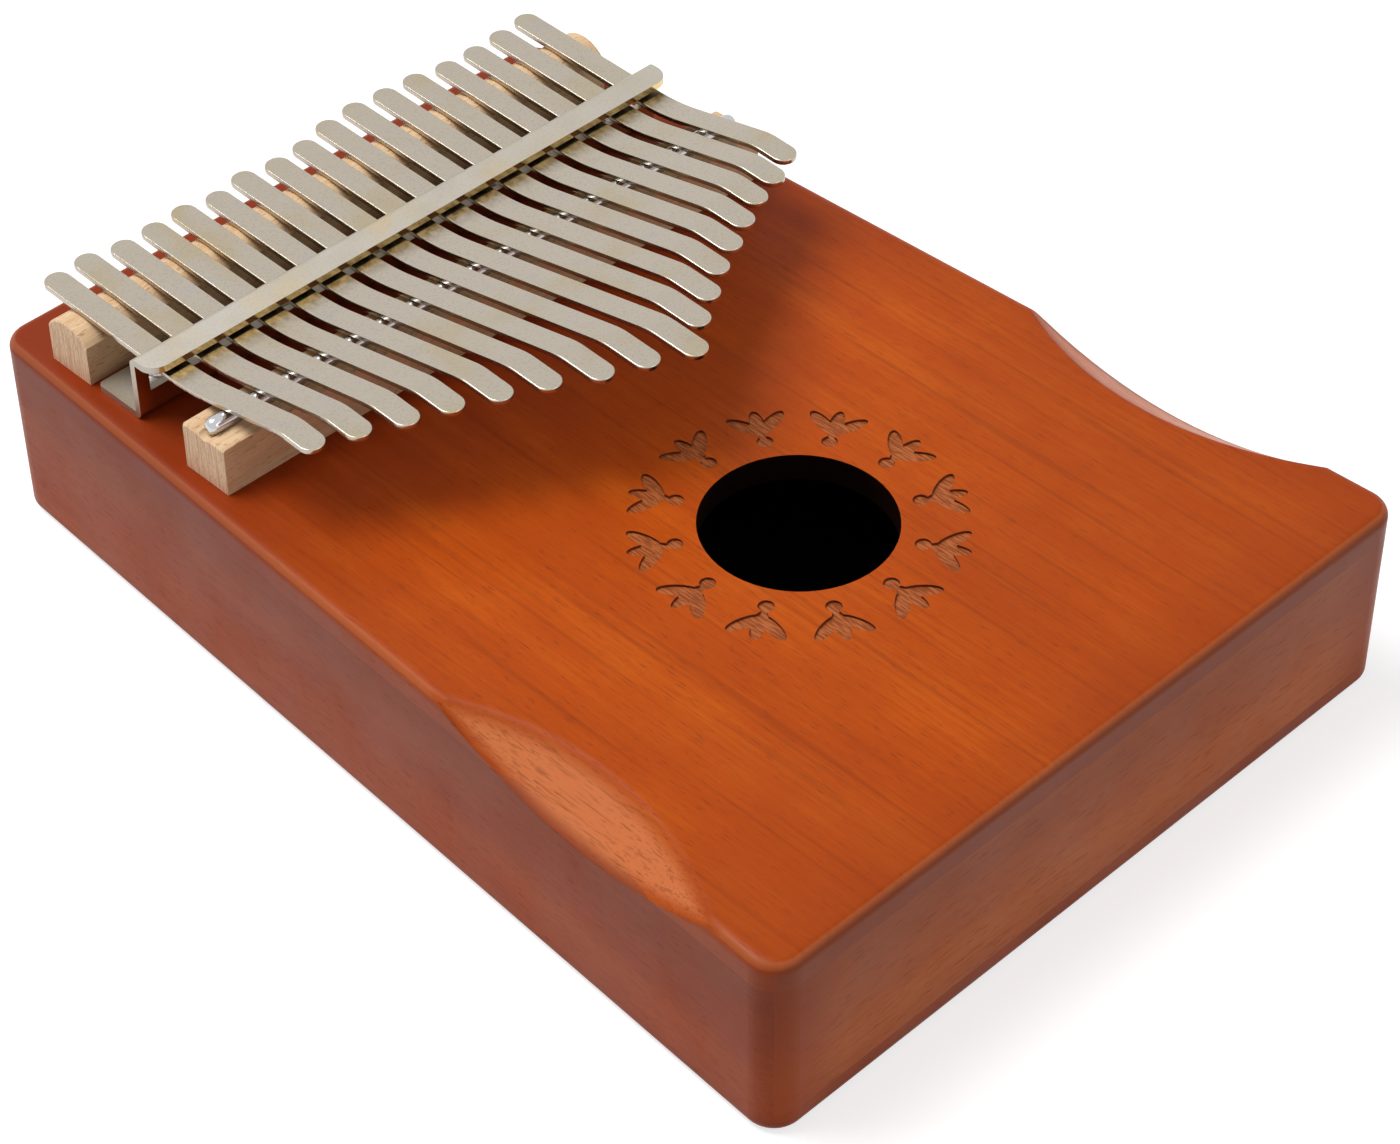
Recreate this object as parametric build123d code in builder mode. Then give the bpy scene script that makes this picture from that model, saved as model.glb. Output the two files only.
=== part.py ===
# Thumb piano (mbira, seventeen tongues): a hollow hardwood box carries two
# beech bridges, a chromed rod, a folded steel clamp and seventeen spring
# steel tongues.  Millimetres; origin under the middle of the box, +Y towards
# the clamp end, +Z up.
from build123d import *
import math
import os

os.makedirs("parts", exist_ok=True)

# ---------------------------------------------------------------- sizes ----
# box
box_length = 185.0
clamp_end_width = 117.5
hole_end_width = 136.5
box_height = 35.0
top_thickness = 5.0
bottom_thickness = 4.0
side_wall = 7.0
end_wall = 7.0
corner_radius = 5.0
edge_round = 1.8

# sound hole and the carved ring around it
hole_radius = 15.6
hole_y = -30.3
ring_radius = 22.4
ring_count = 12
carving_depth = 0.45
bud_radius = 1.3
bud_offset = -3.0
leaf_length = 6.6
leaf_width = 2.4
leaf_reach = 1.2
leaf_spread = 48.0
leaf_side = 2.1

# hand scoops: one drum cut on each long top edge
scoop_y = -47.0
scoop_run = 9.0
scoop_drop = 7.0
scoop_radius = 90.0
scoop_cut_length = 120.0

# rod and the front bridge that seats it
rod_radius = 1.5
rod_length = 113.0
rod_dome = 1.3
rod_y = 40.5
rod_sunk = 0.75
rod_seat_gap = 0.02
front_bridge_length = 115.0
front_bridge_depth = 10.4
front_bridge_height = 9.0
front_bridge_shift = 0.2
front_bridge_round = 1.3
bridge_edge_break = 0.4

# rear bridge, arched on top
rear_bridge_length = 112.0
rear_bridge_depth = 9.6
rear_bridge_y = 76.3
rear_bridge_arch = 2.3
rear_bridge_gap = 0.15

# folded clamp
clamp_length = 111.5
clamp_sheet = 1.2
clamp_height = 12.2
clamp_web_y = 59.0
clamp_foot_depth = 10.9
clamp_lip_depth = 5.7
clamp_bend_outside = 1.4
clamp_lip_corner = 3.2
clamp_foot_corner = 1.0
window_width = 5.0
window_sill = 4.8

# screws through the clamp foot
screw_count = 5
screw_pitch = 24.0
screw_shank_radius = 1.45
screw_head_radius = 3.0
screw_head_height = 1.9
screw_head_round = 0.9
screw_length = 14.0
screw_tip = 2.0
screw_hole_gap = 0.15
screw_pilot_gap = 0.02
recess_span = 3.2
recess_width = 0.8
recess_depth = 0.9

# block under the top board that the screws bite into
block_depth = 18.0
block_height = 12.0

# tongues
tongue_width = 4.5
tongue_sheet = 1.0
tongue_pitch = 6.35
tongue_rise = 12.8
tongue_on_rod_gap = 0.15
tongue_lip_gap = 0.7
tongue_tail_rise = 1.0
tongue_clamp_bend = 40.0
tongue_tip_bend = 12.0
tongue_tip_drop = 0.3
tip_length_long = 10.0
tip_length_short = 7.0
tongue_reaches = [20.4, 23.8, 27.5, 30.6, 34.5, 38.5, 43.3, 46.7, 50.6,
                  44.7, 40.4, 36.0, 32.5, 28.9, 25.5, 23.1, 19.5]
tongue_tails = [46.4, 46.9, 45.6, 45.7, 46.0, 45.0, 46.2, 45.2, 45.7,
                47.3, 47.9, 47.4, 47.0, 45.9, 45.8, 46.2, 46.8]

# ------------------------------------------------------- derived sizes ----
top_under = box_height - top_thickness
taper = (hole_end_width - clamp_end_width) / 2 / box_length
side_run = side_wall * math.hypot(1, taper)
clamp_top = box_height + clamp_height
lip_under = clamp_top - clamp_sheet
clamp_web_back = clamp_web_y + clamp_sheet
screw_y = (clamp_web_back + clamp_web_y + clamp_foot_depth) / 2
rod_z = box_height + front_bridge_height + rod_radius - rod_sunk
rise = math.tan(math.radians(tongue_rise))
tail_rise = math.tan(math.radians(tongue_tail_rise))
over_rod = rod_z + (rod_radius + tongue_on_rod_gap) / math.cos(math.radians(tongue_rise))
sag_z = lip_under - tongue_sheet - tongue_lip_gap
sag_y = rod_y + (over_rod - sag_z) / rise
rear_crest = sag_z + (rear_bridge_y - sag_y) * tail_rise - rear_bridge_gap
middle_tongue = (len(tongue_reaches) - 1) / 2
screw_places = [((i - (screw_count - 1) / 2) * screw_pitch, screw_y) for i in range(screw_count)]


def half_width(y):
    """Half the width of the box at y."""
    return (hole_end_width + clamp_end_width) / 4 - taper * y


def inner_half(y):
    """Half the clear width between the side walls at y."""
    return half_width(y) - side_run


def finish(builder, name):
    """Name a part and write it out."""
    builder.part.label = name
    export_step(builder.part, f"parts/{name}.step")


def box_outline():
    """Tapered outline of the box with rounded corners, in the open sketch."""
    near = -box_length / 2
    far = box_length / 2
    Polygon(
        (-hole_end_width / 2, near),
        (hole_end_width / 2, near),
        (clamp_end_width / 2, far),
        (-clamp_end_width / 2, far),
        align=None,
    )
    fillet(vertices(), corner_radius)


def scoop_plane(side):
    """Plane across the drum that scoops one long top edge; its normal runs up the scoop."""
    slope = math.hypot(scoop_run, scoop_drop)
    depth = scoop_run * scoop_drop / slope
    lift = scoop_radius - depth
    out = (side * scoop_drop / slope, 0, scoop_run / slope)
    along = (-side * scoop_run / slope, 0, scoop_drop / slope)
    edge_x = side * half_width(scoop_y)
    centre = (edge_x + out[0] * lift, scoop_y, box_height + out[2] * lift)
    return Plane(origin=centre, x_dir=(0, 1, 0), z_dir=along)


# ------------------------------------------------------------ top board ----
with BuildPart() as top_board:
    with BuildSketch(Plane.XY.offset(top_under)):
        box_outline()
    extrude(amount=top_thickness)
    fillet(top_board.faces().sort_by(Axis.Z)[-1].edges(), edge_round)
    with Locations((0, hole_y, box_height)):
        Hole(hole_radius, depth=top_thickness)
    with BuildSketch(Plane.XY.offset(box_height)):
        with Locations((0, hole_y)):
            with PolarLocations(ring_radius, ring_count):
                with Locations((bud_offset, 0)):
                    Circle(bud_radius)
                with Locations((leaf_reach, 0)):
                    Ellipse(leaf_length / 2, leaf_width / 2)
                with Locations((leaf_reach, leaf_side)):
                    Ellipse(leaf_length / 2, leaf_width / 2, rotation=leaf_spread)
                with Locations((leaf_reach, -leaf_side)):
                    Ellipse(leaf_length / 2, leaf_width / 2, rotation=-leaf_spread)
    extrude(amount=-carving_depth, mode=Mode.SUBTRACT)
    with Locations(scoop_plane(-1), scoop_plane(1)):
        Cylinder(scoop_radius, scoop_cut_length, mode=Mode.SUBTRACT)
    with BuildSketch(Plane.XY.offset(top_under)):
        with Locations(*screw_places):
            Circle(screw_shank_radius + screw_pilot_gap)
    extrude(amount=top_thickness, mode=Mode.SUBTRACT)
finish(top_board, "top_board")

# --------------------------------------------------------- bottom board ----
with BuildPart() as bottom_board:
    with BuildSketch(Plane.XY):
        box_outline()
    extrude(amount=bottom_thickness)
    fillet(bottom_board.faces().sort_by(Axis.Z)[0].edges(), edge_round)
finish(bottom_board, "bottom_board")


# ----------------------------------------------- side and end walls ----
def wall(name, outline, scooped_side):
    """One mitred wall: its plan trimmed to the rounded outline of the box."""
    with BuildPart() as board:
        with BuildSketch(Plane.XY.offset(bottom_thickness)):
            box_outline()
            Polygon(*outline, align=None, mode=Mode.INTERSECT)
        extrude(amount=top_under - bottom_thickness)
        if scooped_side:
            with Locations(scoop_plane(scooped_side)):
                Cylinder(scoop_radius, scoop_cut_length, mode=Mode.SUBTRACT)
    finish(board, name)


near_out = -box_length / 2
far_out = box_length / 2
near_in = near_out + end_wall
far_in = far_out - end_wall
for side, name in ((-1, "side_left"), (1, "side_right")):
    wall(name, [
        (side * half_width(near_out), near_out),
        (side * inner_half(near_in), near_in),
        (side * inner_half(far_in), far_in),
        (side * half_width(far_out), far_out),
    ], side)
for y_out, y_in, name in ((near_out, near_in, "end_hole"), (far_out, far_in, "end_clamp")):
    wall(name, [
        (-half_width(y_out), y_out),
        (half_width(y_out), y_out),
        (inner_half(y_in), y_in),
        (-inner_half(y_in), y_in),
    ], 0)

# --------------------------------------------------------- screw block ----
with BuildPart() as screw_block:
    block_near = screw_y - block_depth / 2
    block_far = screw_y + block_depth / 2
    with BuildSketch(Plane.XY.offset(top_under)):
        Polygon(
            (-inner_half(block_near), block_near),
            (inner_half(block_near), block_near),
            (inner_half(block_far), block_far),
            (-inner_half(block_far), block_far),
            align=None,
        )
    extrude(amount=-block_height)
    with BuildSketch(Plane.XY.offset(top_under)):
        with Locations(*screw_places):
            Circle(screw_shank_radius + screw_pilot_gap)
    extrude(amount=-block_height, mode=Mode.SUBTRACT)
finish(screw_block, "screw_block")

# --------------------------------------------------------- rear bridge ----
with BuildPart() as rear_bridge:
    back = rear_bridge_y + rear_bridge_depth / 2
    front = rear_bridge_y - rear_bridge_depth / 2
    shoulder = rear_crest - rear_bridge_arch
    with BuildSketch(Plane.YZ):
        with BuildLine():
            Polyline((front, shoulder), (front, box_height), (back, box_height), (back, shoulder))
            ThreePointArc((back, shoulder), (rear_bridge_y, rear_crest), (front, shoulder))
        make_face()
    extrude(amount=rear_bridge_length / 2, both=True)
    fillet(rear_bridge.edges().filter_by(GeomType.CIRCLE), bridge_edge_break)
finish(rear_bridge, "rear_bridge")

# -------------------------------------------------------- front bridge ----
with BuildPart() as front_bridge:
    with BuildSketch(Plane.XY.offset(box_height)):
        with Locations((0, rod_y + front_bridge_shift)):
            Rectangle(front_bridge_length, front_bridge_depth)
    extrude(amount=front_bridge_height)
    long_top = front_bridge.faces().sort_by(Axis.Z)[-1].edges().filter_by(Axis.X)
    fillet(long_top.sort_by(Axis.Y)[-1], front_bridge_round)
    chamfer(front_bridge.faces().sort_by(Axis.Z)[-1].edges().filter_by(Axis.Y), bridge_edge_break)
    with BuildSketch(Plane.YZ):
        with Locations((rod_y, rod_z)):
            Circle(rod_radius + rod_seat_gap)
    extrude(amount=front_bridge_length, both=True, mode=Mode.SUBTRACT)
finish(front_bridge, "front_bridge")

# ----------------------------------------------------------------- rod ----
with BuildPart() as bridge_rod:
    with BuildSketch(Plane.YZ):
        with Locations((rod_y, rod_z)):
            Circle(rod_radius)
    extrude(amount=rod_length / 2, both=True)
    fillet(bridge_rod.edges().filter_by(GeomType.CIRCLE), rod_dome)
finish(bridge_rod, "bridge_rod")

# --------------------------------------------------------------- clamp ----
with BuildPart() as clamp:
    lip_front = clamp_web_back - clamp_lip_depth
    foot_back = clamp_web_y + clamp_foot_depth
    foot_top = box_height + clamp_sheet
    with BuildSketch(Plane.YZ) as fold:
        Polygon(
            (clamp_web_y, box_height),
            (foot_back, box_height),
            (foot_back, foot_top),
            (clamp_web_back, foot_top),
            (clamp_web_back, clamp_top),
            (lip_front, clamp_top),
            (lip_front, lip_under),
            (clamp_web_y, lip_under),
            align=None,
        )
        near_folds = fold.vertices().filter_by_position(Axis.X, clamp_web_y, clamp_web_back)
        fillet(near_folds.sort_by(Axis.Y)[0], clamp_bend_outside)
        near_folds = fold.vertices().filter_by_position(Axis.X, clamp_web_y, clamp_web_back)
        fillet(near_folds.sort_by(Axis.Y)[-1], clamp_bend_outside)
    extrude(amount=clamp_length / 2, both=True)
    lip_ends = clamp.edges().filter_by(Axis.Z).group_by(Axis.Y)[0]
    fillet(lip_ends, clamp_lip_corner)
    foot_ends = clamp.edges().filter_by(Axis.Z).group_by(Axis.Y)[-1]
    fillet(foot_ends, clamp_foot_corner)
    window_height = clamp_height - clamp_sheet - window_sill
    window_z = box_height + window_sill + window_height / 2
    with BuildSketch(Plane.XZ.offset(-clamp_web_back)):
        for i in range(len(tongue_reaches)):
            with Locations(((i - middle_tongue) * tongue_pitch, window_z)):
                Rectangle(window_width, window_height)
    extrude(amount=clamp_sheet, mode=Mode.SUBTRACT)
    with BuildSketch(Plane.XY.offset(box_height)):
        with Locations(*screw_places):
            Circle(screw_shank_radius + screw_hole_gap)
    extrude(amount=clamp_sheet, mode=Mode.SUBTRACT)
finish(clamp, "clamp")

# -------------------------------------------------------------- screws ----
with BuildPart() as clamp_screws:
    with BuildSketch(Plane.XY.offset(foot_top)):
        with Locations(*screw_places):
            Circle(screw_head_radius)
    extrude(amount=screw_head_height)
    fillet(clamp_screws.faces().group_by(Axis.Z)[-1].edges(), screw_head_round)
    with BuildSketch(Plane.XY.offset(foot_top)):
        with Locations(*screw_places):
            Circle(screw_shank_radius)
    extrude(amount=screw_tip - screw_length)
    with BuildSketch(Plane.XY.offset(foot_top + screw_tip - screw_length)):
        with Locations(*screw_places):
            Circle(screw_shank_radius)
    tip_slope = math.degrees(math.atan2(screw_shank_radius, screw_tip)) * 0.9
    extrude(amount=-screw_tip, taper=tip_slope)
    with BuildSketch(Plane.XY.offset(foot_top + screw_head_height)):
        with Locations(*screw_places):
            Rectangle(recess_span, recess_width)
            Rectangle(recess_width, recess_span)
    extrude(amount=-recess_depth, mode=Mode.SUBTRACT)
finish(clamp_screws, "clamp_screws")


# ------------------------------------------------------------- tongues ----
def tongue(number, reach, tail):
    """One tongue: folded strip seen from the side, rounded ends in plan."""
    x = (number - 1 - middle_tongue) * tongue_pitch
    share = (reach - min(tongue_reaches)) / (max(tongue_reaches) - min(tongue_reaches))
    tip = tip_length_short + share * (tip_length_long - tip_length_short)
    bend_z = over_rod + (reach - tip) * rise
    front_y = rod_y - reach
    back_y = rod_y + tail
    tail_z = sag_z + (back_y - sag_y) * tail_rise
    with BuildPart() as strip:
        with BuildSketch(Plane.YZ):
            with BuildLine() as under:
                Polyline(
                    (front_y, bend_z - tongue_tip_drop),
                    (front_y + tip, bend_z),
                    (sag_y, sag_z),
                    (back_y, tail_z),
                )
                bends = under.vertices().sort_by(Axis.X)
                fillet(bends[1], tongue_tip_bend)
                fillet(under.vertices().sort_by(Axis.X)[-2], tongue_clamp_bend)
                offset(amount=tongue_sheet, side=Side.LEFT)
            make_face()
        extrude(amount=tongue_width / 2, both=True)
        with BuildSketch(Plane.XY.offset(box_height)):
            with Locations((0, (front_y + back_y) / 2)):
                SlotOverall(back_y - front_y, tongue_width, rotation=90)
        extrude(amount=box_height, mode=Mode.INTERSECT)
    placed = Pos(x, 0, 0) * strip.part
    name = f"tongue_{number:02d}"
    placed.label = name
    export_step(placed, f"parts/{name}.step")


for number, (reach, tail) in enumerate(zip(tongue_reaches, tongue_tails), start=1):
    tongue(number, reach, tail)
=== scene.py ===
import math

import bpy
from mathutils import Matrix, Vector


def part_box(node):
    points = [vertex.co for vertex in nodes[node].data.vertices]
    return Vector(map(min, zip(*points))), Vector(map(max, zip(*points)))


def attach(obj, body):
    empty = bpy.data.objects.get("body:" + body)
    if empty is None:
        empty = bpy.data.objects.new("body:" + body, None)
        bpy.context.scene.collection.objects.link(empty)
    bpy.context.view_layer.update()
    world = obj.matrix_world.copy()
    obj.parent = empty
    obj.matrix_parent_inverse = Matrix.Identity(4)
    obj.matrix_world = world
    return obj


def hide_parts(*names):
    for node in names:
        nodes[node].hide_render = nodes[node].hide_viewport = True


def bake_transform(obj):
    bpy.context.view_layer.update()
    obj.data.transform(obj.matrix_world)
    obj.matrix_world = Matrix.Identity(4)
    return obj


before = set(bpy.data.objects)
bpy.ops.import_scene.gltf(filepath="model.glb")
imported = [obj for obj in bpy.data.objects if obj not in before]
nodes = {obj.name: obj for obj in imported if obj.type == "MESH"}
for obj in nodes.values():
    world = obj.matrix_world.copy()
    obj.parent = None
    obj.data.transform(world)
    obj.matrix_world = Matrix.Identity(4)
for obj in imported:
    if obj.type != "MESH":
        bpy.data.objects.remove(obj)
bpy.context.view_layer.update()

mm = 0.001


# ---- Camera and studio --------------------------------------------------
# The view looks down over the left long side and the sound hole end, through
# a short telephoto lens, as a maker's catalogue shows the instrument.

camera_data = bpy.data.cameras.new("camera")
camera_data.sensor_width = 36.0
camera_data.lens = 99.0
camera_data.clip_start = 0.02
camera_data.clip_end = 50.0
camera = bpy.data.objects.new("camera", camera_data)
bpy.context.scene.collection.objects.link(camera)
camera_right = Vector((0.712663, -0.701474, -0.006698))
camera_down = Vector((-0.477592, -0.478172, -0.737060))
camera_forward = Vector((0.513826, 0.528474, -0.675794))
camera_place = Vector((-0.31449, -0.33219, 0.42432))
turned = Matrix((camera_right, -camera_down, -camera_forward)).transposed().to_4x4()
camera.matrix_world = Matrix.Translation(camera_place) @ turned
bpy.context.scene.camera = camera
bpy.context.scene.view_settings.view_transform = "Standard"


def linear(hex_colour):
    """An sRGB hex colour as the linear RGBA that a shader socket takes."""
    parts = [int(hex_colour[i:i + 2], 16) / 255 for i in (0, 2, 4)]
    return [c / 12.92 if c <= 0.04045 else ((c + 0.055) / 1.055) ** 2.4 for c in parts] + [1.0]


def node(material, kind, inputs, out=0, **settings):
    """Adds one shader node: inputs by value or from another node, settings by name."""
    made = material.node_tree.nodes.new("ShaderNode" + kind)
    for name, value in settings.items():
        setattr(made, name, value)
    for key, value in inputs.items():
        if isinstance(value, bpy.types.NodeSocket):
            material.node_tree.links.new(value, made.inputs[key])
        else:
            made.inputs[key].default_value = value
    return made.outputs[out] if made.outputs else made


def softbox(name, place, aim, width, height, watts, colour):
    """A rectangular studio lamp that looks from its place at the aim."""
    lamp_data = bpy.data.lights.new(name, "AREA")
    lamp_data.shape = "RECTANGLE"
    lamp_data.size = width
    lamp_data.size_y = height
    lamp_data.energy = watts
    lamp_data.color = linear(colour)[:3]
    lamp = bpy.data.objects.new(name, lamp_data)
    bpy.context.scene.collection.objects.link(lamp)
    lamp.location = place
    lamp.rotation_mode = "QUATERNION"
    lamp.rotation_quaternion = (Vector(aim) - Vector(place)).to_track_quat("-Z", "Y")


lamp_aim = (0, 0, 0.03)
softbox("overhead_softbox", (-0.30, 0.45, 1.15), lamp_aim, 0.7, 0.7, 14.0, "FFFFFF")
softbox("front_softbox", (0.35, -1.20, 0.80), lamp_aim, 0.8, 0.8, 3.0, "FFFFFF")

# The room is white to the camera and in reflections, but dim as a light.
world = bpy.data.worlds.new("studio")
bpy.context.scene.world = world
world.use_nodes = True
world.node_tree.nodes.clear()
ray = node(world, "LightPath", {}, out="Is Camera Ray").node.outputs
shown = node(world, "Math", {0: ray["Is Camera Ray"], 1: ray["Is Glossy Ray"]}, operation="MAXIMUM")
shown = node(world, "Math", {0: shown, 1: ray["Is Transmission Ray"]}, operation="MAXIMUM")
level = node(world, "MapRange", {"Value": shown, "To Min": 0.24, "To Max": 1.0})
sky = node(world, "Background", {"Color": linear("FFFFFF"), "Strength": level})
node(world, "OutputWorld", {"Surface": sky})

# The floor is lifted towards white where the camera or a reflection sees it.
floor_size = 6.0
floor_drop = 0.2 * mm
bpy.ops.object.select_all(action="DESELECT")
bpy.ops.mesh.primitive_plane_add(size=floor_size, location=(0, 0, -floor_drop))
floor = bpy.context.object
floor.name = "floor"
bpy.ops.object.transform_apply(location=True, rotation=True, scale=True)
paper = bpy.data.materials.new("seamless_paper")
paper.use_nodes = True
paper.node_tree.nodes.clear()
ray = node(paper, "LightPath", {}, out="Is Camera Ray").node.outputs
seen = node(paper, "Math", {0: ray["Is Camera Ray"], 1: ray["Is Glossy Ray"]}, operation="MAXIMUM")
shade = node(paper, "Mix", {
    "Factor": seen, "A": linear("BCBCBC"), "B": linear("C0C0C0")
}, out="Result", data_type="RGBA")
lift_share = node(paper, "Math", {0: seen, 1: 0.7}, operation="MULTIPLY")
matt = node(paper, "BsdfDiffuse", {"Color": shade})
lift = node(paper, "Emission", {"Color": linear("FFFFFF"), "Strength": lift_share})
both = node(paper, "AddShader", {0: matt, 1: lift})
node(paper, "OutputMaterial", {"Surface": both})
floor.data.materials.append(paper)


# ---- Box: boards and walls ----------------------------------------------
# A hollow box of mahogany boards glued with mitred corners, stained orange
# brown and sprayed with satin lacquer. The top is figured lengthwise; end
# grain drinks more stain, so the boards' ends are darker.

box_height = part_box("top_board")[1].z
joint_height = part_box("top_board")[0].z
box_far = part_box("end_clamp")[1].y
hole_centre = Vector((0, -30.3 * mm, box_height))
scoop_run = 9.0 * mm
scoop_drop = 7.0 * mm
scoop_radius = 90.0 * mm
scoop_y = -47.0 * mm
middle_half_width = 63.5 * mm
side_taper = 9.5 / 185.0
scoop_half_width = middle_half_width - side_taper * scoop_y
hole_radius = 15.6 * mm
ring_radius = 30.0 * mm

# Every noise pattern is scaled by its mapping alone and has the same roughness.
even_noise = {"Scale": 1.0, "Roughness": 0.55}


def per(size):
    """Noise scales for features of the given size in metres along each axis."""
    return [1 / s for s in size]


def blank_material(name):
    """An empty node material with the surface point and its normal."""
    material = bpy.data.materials.new(name)
    material.use_nodes = True
    material.node_tree.nodes.clear()
    place = node(material, "TexCoord", {}, out="Object")
    normal = node(material, "NewGeometry", {}, out="Normal")
    return material, place, normal


def mahogany(name, along, dark, body, light):
    """Stained and lacquered mahogany with its grain along one axis: 0 for x, 1 for y."""
    material, place, normal = blank_material(name)
    split = node(material, "SeparateXYZ", {"Vector": place}).node.outputs
    facing = node(material, "SeparateXYZ", {"Vector": normal}).node.outputs

    # Ribbons of figure about 9 mm apart, cloudy stain at 7 mm, fibres 0.6 mm apart.
    def run(across, length):
        size = [across, across, across]
        size[along] = length
        return size
    ribbons = node(material, "TexNoise", {
        "Vector": node(material, "Mapping", {
            "Vector": place, "Scale": per(run(9 * mm, 160 * mm))
        }),
        "Detail": 1.0, **even_noise
    })
    clouds = node(material, "TexNoise", {
        "Vector": node(material, "Mapping", {"Vector": place, "Scale": per(run(7 * mm, 13 * mm))}),
        "Detail": 4.0, **even_noise
    })
    fibres = node(material, "TexNoise", {
        "Vector": node(material, "Mapping", {
            "Vector": place, "Scale": per(run(0.6 * mm, 14 * mm))
        }),
        "Detail": 3.0, **even_noise
    })
    figure = node(material, "Math", {
        0: ribbons, 1: 0.4,
        2: node(material, "Math", {
            0: clouds, 1: 0.28,
            2: node(material, "Math", {0: fibres, 1: 0.32}, operation="MULTIPLY")
        }, operation="MULTIPLY_ADD")
    }, operation="MULTIPLY_ADD")
    ramp = node(material, "ValToRGB", {"Fac": figure})
    stops = ramp.node.color_ramp.elements
    stops[0].position = 0.36
    stops[0].color = linear(dark)
    stops[1].position = 0.64
    stops[1].color = linear(light)
    middle = stops.new(0.50)
    middle.color = linear(body)
    colour = ramp

    # Open pores: dashes 0.22 mm wide and 3 mm long, filled with darker stain.
    pores = node(material, "TexNoise", {
        "Vector": node(material, "Mapping", {
            "Vector": place, "Scale": per(run(0.22 * mm, 3.2 * mm))
        }),
        "Detail": 1.0, **even_noise
    })
    pores = node(material, "MapRange", {
        "Value": pores, "From Min": 0.6, "From Max": 0.72
    }, interpolation_type="SMOOTHSTEP")
    colour = node(material, "Mix", {
        "Factor": node(material, "Math", {0: pores, 1: 0.42}, operation="MULTIPLY"), "A": colour,
        "B": linear("5A2412")
    }, out="Result", data_type="RGBA")
    return material, place, split, facing, colour, fibres, pores


def scoop_share(material, place, split):
    """1 on the two hand scoops and just round them, and how deep below the box's faces they lie."""
    slope = math.hypot(scoop_run, scoop_drop)
    lift = scoop_radius - scoop_run * scoop_drop / slope
    centre_x = scoop_half_width + scoop_drop / slope * lift
    centre_z = box_height + scoop_run / slope * lift
    mirrored = node(material, "CombineXYZ", {
        "X": node(material, "Math", {0: split["X"]}, operation="ABSOLUTE"), "Y": split["Y"],
        "Z": split["Z"]
    })
    reach = node(material, "VectorMath", {
        0: mirrored, 1: (centre_x, scoop_y, centre_z)
    }, out="Vector", operation="SUBTRACT")
    axis = (-scoop_run / slope, 0.0, scoop_drop / slope)
    across = node(material, "VectorMath", {
        0: reach, 1: axis
    }, out="Vector", operation="CROSS_PRODUCT")
    distance = node(material, "VectorMath", {0: across}, out="Value", operation="LENGTH")
    on_drum = node(material, "MapRange", {
        "Value": distance, "From Min": scoop_radius + 0.05 * mm,
        "From Max": scoop_radius + 1.2 * mm, "To Min": 1.0, "To Max": 0.0
    }, interpolation_type="SMOOTHSTEP")
    taper = node(material, "Math", {
        0: split["Y"], 1: -side_taper, 2: middle_half_width
    }, operation="MULTIPLY_ADD")
    from_side = node(material, "Math", {
        0: taper, 1: node(material, "Math", {0: split["X"]}, operation="ABSOLUTE")
    }, operation="SUBTRACT")
    from_top = node(material, "Math", {0: box_height, 1: split["Z"]}, operation="SUBTRACT")
    return on_drum, node(material, "Math", {0: from_side, 1: from_top}, operation="MINIMUM"), from_side


def scoop_wood_and_sheen(material, place, colour, fibres, pores, scoops, sunk_by):
    """Lays the paler, streaky wood of the hand scoops over the stain, their paleness partly a painted sheen,
    and fades it at their rims.
    """
    wood = node(material, "Mix", {
        "Factor": node(material, "Math", {0: pores, 1: 0.6}, operation="MULTIPLY"),
        "A": linear("CE7040"), "B": linear("7A3416")
    }, out="Result", data_type="RGBA")
    wood = node(material, "Mix", {
        "Factor": node(material, "Math", {0: fibres, 1: 0.45}, operation="MULTIPLY"), "A": wood,
        "B": linear("D88450")
    }, out="Result", data_type="RGBA")
    streaks = node(material, "TexNoise", {
        "Vector": node(material, "Mapping", {
            "Vector": place, "Scale": per((0.4 * mm, 12 * mm, 0.4 * mm))
        }),
        "Detail": 2.0, **even_noise
    })
    wood = node(material, "Mix", {
        "Factor": node(material, "Math", {
            0: node(material, "MapRange", {
                "Value": streaks, "From Min": 0.52, "From Max": 0.68
            }, interpolation_type="SMOOTHSTEP"),
            1: 0.55
        }, operation="MULTIPLY"),
        "A": wood, "B": linear("8E4622")
    }, out="Result", data_type="RGBA")
    # The scoops' paler colour is partly a painted sheen of the lamp on their tilted faces.
    pale_and_sheen = node(material, "Math", {
        0: scoops,
        1: node(material, "MapRange", {
            "Value": sunk_by, "From Min": 0.0, "From Max": 2.2 * mm
        }, interpolation_type="SMOOTHSTEP")
    }, operation="MULTIPLY")
    return node(material, "Mix", {
        "Factor": node(material, "Math", {0: pale_and_sheen, 1: 0.95}, operation="MULTIPLY"), "A": colour,
        "B": wood
    }, out="Result", data_type="RGBA")


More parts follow.
